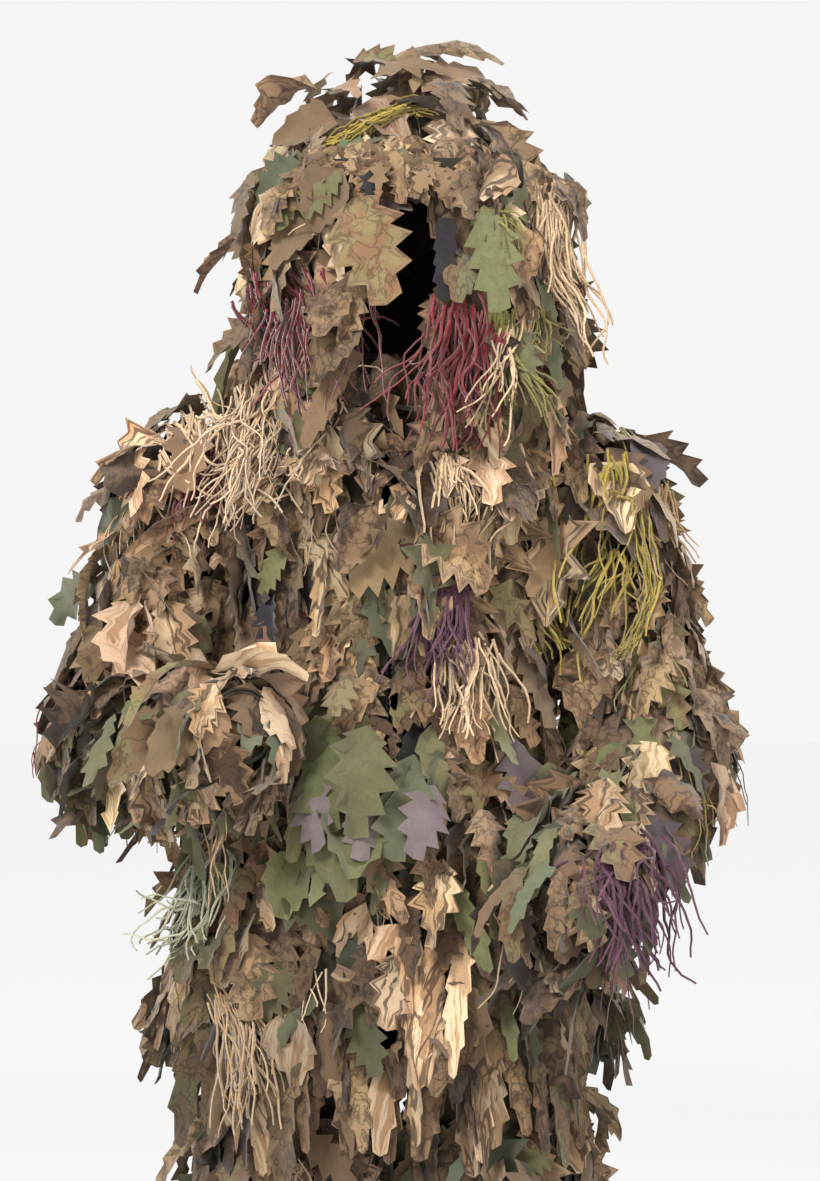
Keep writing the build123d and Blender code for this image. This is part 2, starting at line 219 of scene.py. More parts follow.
def base_material(name, dark, light, scale=14.0):
    """Base garment cloth: muted camouflage print on a fine weave."""
    material, n = new_material(name)
    coords = n.add("ShaderNodeTexCoord").outputs["Object"]
    colour = n.ramp(n.noise(coords, scale, 4.0), [(0.45, dark), (0.55, light)])
    cloth_output(n, colour, coords, weave=1400.0, translucent=0.0)
    return material


def solid_material(name, colour, rough, metallic=0.0):
    """Webbing, plastic or enamelled metal with a fine uneven grain."""
    material, n = new_material(name)
    coords = n.add("ShaderNodeTexCoord").outputs["Object"]
    worn = n.noise(coords, 300.0, 4.0)
    tone = n.ramp(worn, [(0.3, grey(0.75)), (0.7, grey(1.15))])
    n.surface(n.principled(n.mix(1.0, colour, tone, "MULTIPLY"), rough, (0.2, 0.0004, worn), Metallic=metallic))
    return material


CREAM = srgb(222, 192, 154)
SAND = srgb(182, 144, 106)
TAN = srgb(162, 132, 98)
BROWN = srgb(124, 97, 71)
UMBER = srgb(70, 50, 35)
NEAR_BLACK = srgb(34, 26, 20)
OLIVE = srgb(124, 114, 78)
MOSS = srgb(96, 92, 62)
SAGE = srgb(132, 136, 106)
GREY_GREEN = srgb(100, 104, 78)
LILAC = srgb(144, 130, 128)
MAUVE = srgb(106, 90, 94)
NAVY = srgb(44, 43, 52)

KINDS = {
    "bark": print_material("leaf cloth, bark print", CREAM, SAND, UMBER, 18.0, 26.0, 0.05,
                           (1.9, 0.5, 1.0), 0.8),
    "camo": print_material("leaf cloth, brown camouflage", BROWN, TAN, NEAR_BLACK, 26.0, 34.0, 0.03),
    "forest": print_material("leaf cloth, olive camouflage", OLIVE, BROWN, UMBER, 24.0, 30.0, 0.03),
    "umber": print_material("leaf cloth, dark brown", UMBER, BROWN, NEAR_BLACK, 22.0, 28.0, 0.03),
    "wood": print_material("leaf cloth, wood grain", SAND, CREAM, UMBER, 30.0, 20.0, 0.03,
                           (3.2, 0.35, 1.0), 0.0),
    "tan": plain_material("leaf cloth, tan", TAN, BROWN),
    "olive": plain_material("leaf cloth, olive green", srgb(136, 134, 92), MOSS, 0.2),
    "sage": plain_material("leaf cloth, sage", SAGE, GREY_GREEN, 0.2),
    "lilac": plain_material("leaf cloth, lilac", LILAC, MAUVE, 0.35, 0.6, 0.2),
    "navy": plain_material("leaf cloth, navy", NAVY, NEAR_BLACK, 0.05),
}
KIND_NAMES = list(KINDS)
YARN = yarn_material()
BASE_CLOTH = base_material("base cloth, camouflage", srgb(44, 38, 28), srgb(76, 66, 46))
VEIL_MESH = base_material("veil mesh", srgb(34, 30, 24), srgb(54, 46, 35), 20.0)
WEBBING = solid_material("elastic webbing", srgb(48, 46, 34), 0.85)
ZIP_TAPE = solid_material("zip tape", srgb(52, 50, 36), 0.85)
ZIP_PLASTIC = solid_material("zip teeth", srgb(40, 38, 30), 0.45)
ZIP_METAL = solid_material("zip slider, dark enamel", srgb(38, 36, 32), 0.35, 0.6)
YARNS = {
    "beige": srgb(222, 188, 148), "jute": srgb(186, 152, 110), "burgundy": srgb(118, 40, 44),
    "gold": srgb(168, 146, 66), "olive": srgb(128, 122, 62), "purple": srgb(96, 58, 74),
    "pale": srgb(192, 190, 158), "brown": srgb(104, 78, 56),
}


# ---------------------------------------------------------------- leaf meshes
ROWS = 11
COLS = 5
ROW_S = np.linspace(0.0, 1.0, ROWS)
COL_C = np.linspace(-1.0, 1.0, COLS)


TOOTH = np.arange(ROWS) % 2 == 1
PRONG = np.arange(ROWS) % 3 == 2
STUB = 0.03        # half width, as a share, of the sewn end and the tip

# half width of each leaf shape down its length, 1 at its widest
SHAPES = {
    "lobed": np.sin(np.pi * np.clip(ROW_S, 0, 1) ** 0.8) ** 0.7 * np.where(TOOTH, 1.0, 0.55) + STUB,
    "pointed": np.sin(np.pi * ROW_S ** 0.7) ** 0.9 * np.where(TOOTH, 1.0, 0.88) + STUB,
    "strip": np.where(TOOTH, 1.0, 0.72) * np.clip((1.02 - ROW_S) * 4.0, 0.06, 1.0),
    "forked": np.where(PRONG, 1.0, 0.42) * np.clip(np.sin(np.pi * ROW_S ** 0.6), 0.08, 1.0),
}
DOWN = np.array((0.0, 0.0, -1.0))
SAG = 0.9          # how strongly a leaf's free end turns down
QUADS = np.array([
    (r * COLS + c, r * COLS + c + 1, (r + 1) * COLS + c + 1, (r + 1) * COLS + c)
    for r in range(ROWS - 1) for c in range(COLS - 1)
])


def unit(v):
    v = np.asarray(v, float)
    length = np.linalg.norm(v)
    return v / length if length > 1e-9 else v


def turn(v, axis, angle):
    """v turned about a unit axis."""
    return (v * math.cos(angle) + np.cross(axis, v) * math.sin(angle)
            + axis * np.dot(axis, v) * (1 - math.cos(angle)))


def leaf_points(root, normal, along, length, width, shape, lift, droop, cup, twist, wave):
    """Grid of points of one hanging leaf, sewn on at its root."""
    s = ROW_S
    half = SHAPES[shape] * width / 2
    angle = lift + droop * s + wave * np.sin(s * 7.0 + twist * 9.0)
    step = length / (ROWS - 1)
    go = np.cos(angle)[:, None] * along + np.sin(angle)[:, None] * normal
    go = go + (SAG * s ** 1.5)[:, None] * DOWN
    go /= np.linalg.norm(go, axis=1)[:, None]
    centre = root + np.vstack([np.zeros(3), np.cumsum(go[:-1], axis=0)]) * step
    across = np.cross(along, normal)
    up = np.cross(across, go)
    roll = twist * s
    side = np.cos(roll)[:, None] * across + np.sin(roll)[:, None] * up
    face = -np.sin(roll)[:, None] * across + np.cos(roll)[:, None] * up
    c = COL_C[None, :, None]
    h = half[:, None, None]
    hook = TOOTH[:, None, None] * (np.abs(c) > 0.9) * step * 0.7
    ripple = 0.12 * np.sin(s * 9.0 + twist * 20.0)[:, None, None] * c
    ripple = ripple + 0.16 * np.sin(s * 13.0 + twist * 31.0)[:, None, None] * np.cos(c * 4.0 + twist * 17.0)
    points = (centre[:, None, :] + side[:, None, :] * c * h
              + face[:, None, :] * (cup * c * c + ripple) * h + go[:, None, :] * hook)
    return points.reshape(-1, 3)


class Batch:
    """Leaves or yarns gathered into one mesh."""

    def __init__(self):
        self.points, self.faces, self.slots, self.tints, self.cuts = [], [], [], [], []
        self.count = 0

    def add(self, points, faces, slot, tint, cut):
        self.points.append(points)
        self.faces.append(faces + self.count)
        self.slots.append(np.full(len(faces), slot))
        self.tints.append(np.tile(np.append(tint, 1.0), (len(points), 1)))
        self.cuts.append(cut)
        self.count += len(points)

    def build(self, name, materials):
        points = np.vstack(self.points)
        faces = np.vstack(self.faces)
        mesh = bpy.data.meshes.new(name)
        mesh.from_pydata(points.tolist(), [], faces.tolist())
        for material in materials:
            mesh.materials.append(material)
        mesh.polygons.foreach_set("material_index", np.concatenate(self.slots).astype(np.int32))
        mesh.polygons.foreach_set("use_smooth", np.ones(len(faces), bool))
        # each point's tone, with painted shade on the inner leaf coats
        tint = mesh.attributes.new("tint", "FLOAT_COLOR", "POINT")
        tint.data.foreach_set("color", np.vstack(self.tints).astype(np.float32).ravel())
        cut = mesh.attributes.new("cut_from", "FLOAT_VECTOR", "POINT")
        cut.data.foreach_set("vector", np.vstack(self.cuts).astype(np.float32).ravel())
        obj = bpy.data.objects.new(name, mesh)
        bpy.context.scene.collection.objects.link(obj)
        self.area = sum(p.area for p in mesh.polygons)
        return obj


def hanging_frame(normal, swing):
    """Direction a leaf hangs in on a surface with this outward normal."""
    normal = unit(normal)
    tangent = DOWN - normal * np.dot(DOWN, normal)
    if normal[2] > 0.8:
        swing = swing * 3.0
    if np.linalg.norm(tangent) < 0.1:
        tangent = tangent + np.array((normal[0], normal[1] - 0.2, 0.0))
    return normal, turn(unit(tangent), normal, swing)


# the space that leaves and yarn stay in: just outside the CAD model's box
ROOM_LOW = np.array((-0.363, -0.278, -1.490))
ROOM_HIGH = np.array((0.363, 0.229, 0.366))

ZIP_CLEAR_Y = -0.152       # in front of the zip slider
ZIP_CLEAR_HALF = 0.012     # half the width that it needs
ZIP_NEAR = 0.030
ZIP_RUN = (-0.64, -0.05)


def clear_zip(points):
    """Leaves and yarn pass over the zip, so that its slider can run under them."""
    x, y, z = points[:, 0], points[:, 1], points[:, 2]
    over = ZIP_CLEAR_Y + 0.9 * np.maximum(0.0, np.abs(x) - ZIP_CLEAR_HALF)
    near = (np.abs(x) < ZIP_NEAR) & (z > ZIP_RUN[0]) & (z < ZIP_RUN[1]) & (y < -0.09)
    points[:, 1] = np.where(near, np.minimum(y, over), y)
    return points


def fits(points):
    return (points > ROOM_LOW).all() and (points < ROOM_HIGH).all()


def add_leaf(batch, root, normal, kind, shape, length, width, swing, lift, droop, cup, twist, wave=0.1,
             tint=1.0):
    """One leaf, made flatter and shorter until it fits the room, with its own piece of cloth, its own tone and
    the painted shade that it is given.
    """
    normal, along = hanging_frame(normal, swing)
    root = np.asarray(root, float)
    for _ in range(4):
        points = leaf_points(root, normal, along, length, width, shape, lift, droop, cup, twist, wave)
        if fits(points):
            break
        lift, wave, cup, length = lift * 0.4, wave * 0.5, cup * 0.5, length * 0.88
    points = clear_zip(np.clip(points, ROOM_LOW, ROOM_HIGH))
    u = np.tile(COL_C * width / 2, ROWS)
    v = np.repeat(ROW_S * length, COLS)
    place = rng.uniform(0, 8, 3)
    a = rng.uniform(-0.5, 0.5)
    cut = np.stack([place[0] + u * math.cos(a) - v * math.sin(a),
                    place[1] + u * math.sin(a) + v * math.cos(a), np.full(len(u), place[2])], axis=1)
    shade = np.clip(np.asarray(tint) * rng.uniform(0.66, 1.24) * rng.uniform(0.95, 1.05, 3), 0, 1.4)
    batch.add(points, QUADS, KIND_NAMES.index(kind), shade, cut)


YARN_SIDES = 3
TUFT_BENDS = 40     # shared bends that a tuft's strands follow


def tube(batch, path, normal, radius, shade):
    """One strand of yarn along a path, thinner at its free end."""
    path = clear_zip(np.clip(np.array(path), ROOM_LOW, ROOM_HIGH))
    tangent = np.gradient(path, axis=0)
    tangent /= np.linalg.norm(tangent, axis=1)[:, None] + 1e-9
    one = np.cross(tangent, normal + 0.01)
    one /= np.linalg.norm(one, axis=1)[:, None] + 1e-9
    two = np.cross(tangent, one)
    thick = radius * rng.uniform(0.7, 1.3) * np.linspace(1.0, 0.55, len(path))[:, None]
    rings = []
    for k in range(YARN_SIDES):
        t = 2 * math.pi * k / YARN_SIDES
        rings.append(path + (one * math.cos(t) + two * math.sin(t)) * thick)
    points = np.stack(rings, axis=1).reshape(-1, 3)
    faces = []
    for i in range(len(path) - 1):
        for k in range(YARN_SIDES):
            m = (k + 1) % YARN_SIDES
            near, far = i * YARN_SIDES, (i + 1) * YARN_SIDES
            faces.append((near + k, near + m, far + m, far + k))
    batch.add(points, np.array(faces), 0, shade, points + rng.uniform(0, 5))


ROPE_RADIUS = 0.0016


def add_rope(batch, line, colour, strands, slack):
    """Loose bundle of yarn laid along a line of points."""
    line = np.array(line)
    base = np.array(YARNS[colour][:3])
    t = np.linspace(0, len(line) - 1, 9 * (len(line) - 1))
    core = np.stack([np.interp(t, np.arange(len(line)), line[:, i]) for i in range(3)], axis=1)
    for _ in range(strands):
        first = int(rng.integers(0, len(core) // 3))
        last = int(rng.integers(len(core) * 2 // 3, len(core)))
        wander = np.cumsum(rng.normal(0, slack * 0.45, (last - first, 3)), axis=0) * 0.6
        wander -= wander.mean(axis=0)
        path = core[first:last] + wander + rng.normal(0, slack, 3)
        tube(batch, path, np.array((0.0, -1.0, 0.2)), ROPE_RADIUS, base * rng.uniform(0.6, 1.15))


def add_yarn(batch, root, normal, colour, length, strands, radius, spread=0.5, lean=0.0, width=0.012):
    """Tuft of crinkled yarn that unravels from one knot."""
    normal, down = hanging_frame(normal, lean)
    across = np.cross(down, normal)
    base = np.array(YARNS[colour][:3])
    flow = []
    bend = rng.normal(0, 0.3, 3)
    for _ in range(TUFT_BENDS):
        bend = 0.7 * bend + rng.normal(0, 0.30, 3)
        flow.append(bend)
    for _ in range(strands):
        size = length * rng.uniform(0.55, 1.2)
        steps = max(7, int(size / 0.0075))
        step = size / steps * 1.12
        heading = unit(down * rng.uniform(0.6, 1.0) + normal * rng.uniform(0.1, 0.6) * spread
                       + across * rng.normal(0, 0.6) * spread)
        position = np.asarray(root, float) + across * rng.normal(0, width) + down * rng.normal(0, width * 0.5)
        path = [position]
        bend = rng.normal(0, 0.4, 3)
        for i in range(steps):
            bend = 0.55 * bend + rng.normal(0, 0.36, 3)
            shared = flow[min(i, TUFT_BENDS - 1)]
            heading = unit(heading + DOWN * 0.42 + shared * 0.42 + bend * (0.22 + 0.62 * spread))
            position = position + heading * step
            path.append(position)
        tube(batch, path, normal, radius, base * rng.uniform(0.6, 1.15))


# -------------------------------------------------------------- where to grow
def nearest_on(points, a, b):
    a, b = np.array(a), np.array(b)
    d = b - a
    t = np.clip((points - a) @ d / (d @ d), 0, 1)
    return a + t[:, None] * d


def outside_of(node, axis):
    """Triangles of the outer skin of a CAD leaf layer: corners, normals, areas."""
    mesh = NODES[node].data
    matrix = NODES[node].matrix_world
    mesh.calc_loop_triangles()
    co = np.array([matrix @ v.co for v in mesh.vertices])
    tri = np.array([t.vertices for t in mesh.loop_triangles])
    corners = co[tri]
    cross = np.cross(corners[:, 1] - corners[:, 0], corners[:, 2] - corners[:, 0])
    area = np.linalg.norm(cross, axis=1) / 2
    normal = cross / (2 * area[:, None] + 1e-12)
    middle = corners.mean(axis=1)
    out = middle - nearest_on(middle, *axis)
    out /= np.linalg.norm(out, axis=1)[:, None] + 1e-9
    keep = (np.einsum("ij,ij->i", normal, out) > 0.35) & (area > 1e-10)
    return corners[keep], normal[keep], area[keep]


NEIGHBOURS = [(x, y, z) for x in (-1, 0, 1) for y in (-1, 0, 1) for z in (-1, 0, 1)]


def scatter(node, axis, spacing):
    """Evenly spread points and normals on the outside of a leaf layer."""
    corners, normals, areas = outside_of(node, axis)
    wanted = int(areas.sum() / spacing ** 2 * 6) + 20
    face = rng.choice(len(areas), wanted, p=areas / areas.sum())
    r1, r2 = np.sqrt(rng.random(wanted)), rng.random(wanted)
    c = corners[face]
    points = c[:, 0] * (1 - r1)[:, None] + c[:, 1] * (r1 * (1 - r2))[:, None] + c[:, 2] * (r1 * r2)[:, None]
    cells = {}
    chosen = []
    for i, p in enumerate(points):
        key = tuple((p // spacing).astype(int))
        around = [q for x, y, z in NEIGHBOURS for q in cells.get((key[0] + x, key[1] + y, key[2] + z), ())]
        if all(np.sum((points[q] - p) ** 2) >= spacing ** 2 for q in around):
            cells.setdefault(key, []).append(i)
            chosen.append(i)
    return points[chosen], normals[face[chosen]]


VEIL_AXIS = ((0.015, 0.03, -0.1), (0.015, 0.03, 0.3))
LIMB_DEPTH = 0.016

# CAD node, axis, depth of the layer, body
LAYERS = [
    ("back_leaf_layer", TORSO_AXIS, 0.013, "jacket"),
    ("right_front_leaf_layer", TORSO_AXIS, 0.013, "jacket"),
    ("left_front_leaf_layer", TORSO_AXIS, 0.013, "jacket"),
    ("hood_leaf_layer_right", HOOD_AXIS, 0.022, "hood"),
    ("hood_leaf_layer_left", HOOD_AXIS, 0.022, "hood"),
    ("veil_right_leaf_layer", VEIL_AXIS, 0.010, "veil"),
    ("veil_left_leaf_layer", VEIL_AXIS, 0.010, "veil"),
]
for side in SIDES:
    limbs = {"upper_sleeve": (SHOULDER, ELBOW), "lower_sleeve": (ELBOW, WRIST), "thigh": (HIP, KNEE),
             "shin": (KNEE, ANKLE)}
    for limb, (upper, lower) in limbs.items():
        LAYERS.append((f"{side}_{limb}_leaf_layer", (upper[side], lower[side]), LIMB_DEPTH, f"{side}_{limb}"))
SHOULDER_REACH = 0.105
ELBOW_REACH = 0.115
KNEE_REACH = 0.15
HIP_LOW = -0.78            # the leaves above this go into the hip's group


def within(p, centre, reach):
    return np.linalg.norm(np.asarray(p) - np.asarray(centre)) < reach


def group_of(p, body):
    """Leaf group a point belongs to: plain pieces of a body, or a bend at a joint."""
    if body == "jacket":
        for side in SIDES:
            if within(p, SHOULDER[side], SHOULDER_REACH):
                return side + "_shoulder"
        if p[1] > -0.012:
            return "jacket_back"
        return "jacket_front_right" if p[0] < 0 else "jacket_front_left"
    if body == "hood" and p[1] < -0.085 and 0.205 < p[2] < 0.262:
        body = "veil"
    if body == "hood":
        return "hood_right" if p[0] < HOOD_AXIS[0][0] else "hood_left"
    if body == "veil":
        return "veil_right" if p[0] < 0.01 else "veil_left"
    side = body.split("_")[0]
    if body.endswith("upper_sleeve"):
        if within(p, SHOULDER[side], SHOULDER_REACH):
            return side + "_shoulder"
        return side + "_elbow" if within(p, ELBOW[side], ELBOW_REACH) else side + "_upper_arm"
    if body.endswith("lower_sleeve"):
        return side + "_elbow" if within(p, ELBOW[side], ELBOW_REACH) else side + "_forearm"
    if body.endswith("thigh") and p[2] > HIP_LOW:
        return side + "_hip"
    if within(p, KNEE[side], KNEE_REACH):
        return side + "_knee"
    return side + ("_thigh_leaves" if body.endswith("thigh") else "_shin_leaves")


leaves, yarns = {}, {}


def batch_for(store, group):
    return store.setdefault(group, Batch())


# how common each cloth is, from the top of the suit down
MIX = {
    "head": dict(bark=5, camo=7, forest=4, umber=4, tan=3, olive=2, sage=1, navy=0.5, wood=1),
    "chest": dict(bark=5, camo=7, forest=3, umber=6, tan=3, olive=1, sage=0.6, navy=0.5, wood=2),
    "belly": dict(bark=4, camo=4, forest=5, umber=4, tan=2, olive=7, sage=2, lilac=1, wood=1),
    "skirt": dict(bark=5, camo=6, forest=4, umber=5, tan=3, olive=3, sage=1, lilac=0.6, wood=2),
    "legs": dict(bark=4, camo=6, forest=5, umber=5, tan=3, olive=4, sage=1, wood=2),
}

# how light the leaves are there
SHADE = dict(head=0.90, chest=1.02, belly=1.05, skirt=0.70, legs=0.70)
SLEEVE_SHADE = 0.92
YARN_MIX = dict(beige=3, jute=4, burgundy=0.8, gold=1.0, olive=1.5, purple=0.6, brown=4)
YARN_SPACING = 0.095
LOWEST_TIP = -1.487


def mix_at(z):
    if z > 0.0:
        return "head"
    if z > -0.29:
        return "chest"
    if z > -0.47:
        return "belly"
    return "skirt" if z > -0.72 else "legs"


def pick(weights):
    names = list(weights)
    w = np.array([weights[k] for k in names], float)
    return names[rng.choice(len(names), p=w / w.sum())]


def ease(t):
    t = np.clip(t, 0, 1)
    return t * t * (3 - 2 * t)


SLOT_X = (-0.022, 0.044)
SLOT_Z = (0.064, 0.200)


def hides_face(root, tip):
    """A leaf that would hang across the gap that the wearer looks out of."""
    return (root[1] < -0.05 and SLOT_X[0] < tip[0] < SLOT_X[1] and SLOT_Z[0] < tip[2] < SLOT_Z[1])


def habit(p, body):
    """Length factor and extra lift of the leaves round a point."""
    if body == "hood" and p[2] > 0.235:
        return 0.90, 0.10
    if body == "hood" and p[2] < 0.13 and (abs(p[0] - 0.015) > 0.085 or p[1] > 0.0):
        return 1.25, 0.22
    if body in ("hood", "veil"):
        return 0.85, 0.10
    if p[2] > -0.075 and abs(p[0]) > 0.11 and body != "jacket":
        return 1.05, 0.26
    if p[2] > -0.05:
        return 1.0, 0.20
    if body.endswith("sleeve"):
        return 1.0, 0.06
    return 1.0, 0.0


def puff(p, body):
    """How far the leaf mass stands off the hood: fuller at its crown and where it meets the shoulders."""
    if body != "hood":
        return 0.0
    if p[2] > 0.25:
        return 0.042 * float(ease((p[2] - 0.25) / 0.06)) * (1.0 if p[0] < 0.02 else 0.75)
    if p[2] < 0.11 and (abs(p[0] - 0.015) > 0.075 or p[1] > 0.0):
        return 0.045 * float(ease((0.11 - p[2]) / 0.10))
    return 0.006


# spacing, share of the layer's depth that the roots lie in, lift, lift spread, painted shade (inner coats darker,
# standing for the shadow under the outer coats)
COATS = ((0.038, 0.90, 0.06, 0.08, 0.46), (0.031, 0.55, 0.20, 0.14, 0.74), (0.028, 0.25, 0.30, 0.22, 1.0))


def grow(node, axis, depth, body):
    """Three coats of leaves and a scatter of yarn on one leaf layer."""
    # the inner coats' leaves are painted darker: painted shade for the shadow that the outer coats cast on them
    for coat, (spacing, sink, lift, lift_spread, painted_coat_shade) in enumerate(COATS):
        points, normals = scatter(node, axis, spacing)
        for p, normal in zip(points, normals):
            root = p - normal * depth * sink * rng.uniform(0.7, 1.0) + normal * puff(p, body) * coat / 2
            longer, more_lift = habit(p, body)
            zone = mix_at(p[2])
            shade = SHADE[zone] * (SLEEVE_SHADE if body.endswith("sleeve") else 1.0)
            kind = pick(MIX[zone])
            shape = pick(dict(lobed=5, pointed=3, strip=2 if p[2] > -0.45 else 6, forked=2))
            length = rng.uniform(0.058, 0.100) * longer
            width = length * rng.uniform(0.48, 0.78)
            if shape == "strip":
                length *= rng.uniform(1.1, 1.5)
                width = rng.uniform(0.016, 0.030)
            swing = rng.normal(0, 0.55)
            lift_now = max(0.02, rng.normal(lift + more_lift * (0.4 + 0.4 * coat), lift_spread))
            if normal[2] > 0.55:
                lift_now *= 0.35
            length = min(length, max(0.03, p[2] - LOWEST_TIP))
            tip = root + hanging_frame(normal, swing)[1] * length
            if hides_face(root, tip):
                continue
            add_leaf(batch_for(leaves, group_of(p, body)), root, normal, kind, shape, length, width,
                     swing=swing, lift=lift_now, droop=rng.normal(-0.45, 0.5) - more_lift * 0.8,
                     cup=rng.normal(0.15, 0.4), twist=rng.normal(0, 0.5), wave=rng.uniform(0.0, 0.22),
                     tint=painted_coat_shade * shade)
    points, normals = scatter(node, axis, YARN_SPACING)
    for p, normal in zip(points, normals):
        colour = pick(YARN_MIX)
        if hides_face(p, p + np.array((0, 0, -0.05))):
            continue
        add_yarn(batch_for(yarns, group_of(p, body)), p - normal * depth * 0.2, normal, colour,
                 rng.uniform(0.05, 0.10), int(rng.uniform(5, 11)), 0.0012)


for layer in LAYERS:
    grow(*layer)

CUFF_LEAVES = 26
BROW_LEAVES = 26
BROW_HEIGHTS = (0.222, 0.234, 0.246, 0.258)
BROW_STEP = 0.012          # how much closer each brow row is to the one below
HEM_STRIPS = 64
VEIL_MIDDLE = (0.015, -0.020)
VEIL_HALF = (0.150, 0.135)
EDGE_SHAPES = dict(lobed=4, pointed=3, forked=1)

# leaves that close over each cuff, rows over the brow, and long strips under the jacket's front hem
for side in SIDES:
    out = unit(np.subtract(WRIST[side], ELBOW[side]))
    across = unit(np.cross(out, (0, 0, 1)))
    over = np.cross(across, out)
    for k in range(CUFF_LEAVES):
        t = 2 * math.pi * k / CUFF_LEAVES
        radial = across * math.cos(t) + over * math.sin(t)
        root = np.array(WRIST[side]) + radial * rng.uniform(0.036, 0.050) - out * rng.uniform(0.0, 0.03)
        facing = out * 0.9 + radial * (0.35 if radial[2] > -0.2 else 1.2)
        add_leaf(batch_for(leaves, side + "_forearm"), root, facing, pick(MIX["chest"]),
                 pick(EDGE_SHAPES), rng.uniform(0.055, 0.085), rng.uniform(0.036, 0.055),
                 swing=rng.normal(0, 0.35), lift=rng.uniform(0.05, 0.4), droop=-0.35, cup=rng.normal(0.1, 0.3),
                 twist=rng.normal(0, 0.3), tint=0.9)
for row, height in enumerate(BROW_HEIGHTS):
    for k in range(BROW_LEAVES):
        t = math.pi * (-0.5 + rng.uniform(-0.40, 0.40))
        stand_off = 0.020 - 0.006 * row
        root = (VEIL_MIDDLE[0] + (VEIL_HALF[0] - BROW_STEP * row + stand_off) * math.cos(t),
                VEIL_MIDDLE[1] + (VEIL_HALF[1] - BROW_STEP * row + stand_off) * math.sin(t),
                height + rng.uniform(-0.006, 0.006))
        length = rng.uniform(0.045, 0.070) if abs(root[0] - 0.011) > 0.045 else rng.uniform(0.030, 0.046)
        add_leaf(batch_for(leaves, "veil_right" if root[0] < 0.01 else "veil_left"), root,
                 (math.cos(t), math.sin(t), 0.25), pick(MIX["head"]), pick(EDGE_SHAPES), length,
                 length * rng.uniform(0.55, 0.8), swing=rng.normal(0, 0.45), lift=rng.uniform(0.05, 0.4),
                 droop=-0.3, cup=rng.normal(0.1, 0.3), twist=rng.normal(0, 0.4), tint=rng.uniform(0.75, 1.0))
for k in range(HEM_STRIPS):
    x = rng.uniform(-0.185, 0.185)
    y = -0.118 * math.sqrt(1 - (x / 0.235) ** 2) - 0.004 + rng.uniform(-0.012, 0.004)
    add_leaf(batch_for(leaves, ("right" if x < 0 else "left") + "_hip"), (x, y, rng.uniform(-0.63, -0.56)),
             (x * 2.0, -1.0, 0.0), pick(dict(bark=4, camo=5, umber=3, forest=3, wood=2)),
             pick(dict(strip=5, pointed=1, forked=1)), rng.uniform(0.10, 0.17), rng.uniform(0.020, 0.040),
             swing=rng.normal(0, 0.16), lift=rng.uniform(0.0, 0.18), droop=-0.1, cup=rng.normal(0.1, 0.4),
             twist=rng.normal(0, 0.5), wave=0.12, tint=rng.uniform(0.45, 0.85))


# --------------------------------------- leaves and tufts picked out one by one
def tree_of(names):
    """Search tree of some CAD nodes, and the node that each triangle is from."""
    points, faces, owner = [], [], []
    for name in names:
        mesh = NODES[name].data
        start = len(points)
        points += [NODES[name].matrix_world @ v.co for v in mesh.vertices]
        mesh.calc_loop_triangles()
        faces += [tuple(start + i for i in t.vertices) for t in mesh.loop_triangles]
        owner += [name] * len(mesh.loop_triangles)
    return BVHTree.FromPolygons(points, faces), owner


BODY_OF_LAYER = {name: body for name, _, _, body in LAYERS}
front_tree, front_owner = tree_of([layer[0] for layer in LAYERS])


def from_front(x, z):
    """Point, normal and body met by looking straight at the suit's front at x, z (millimetres)."""
    for dx in (0, 0.01, -0.01, 0.02, -0.02, 0.03, -0.03, 0.045, -0.045):
        hit, normal, face, _ = front_tree.ray_cast(Vector((x / 1000 + dx, -1.5, z / 1000)), Vector((0, 1, 0)))
        if hit is not None:
            return np.array(hit), np.array(normal), BODY_OF_LAYER[front_owner[face]]
    return None


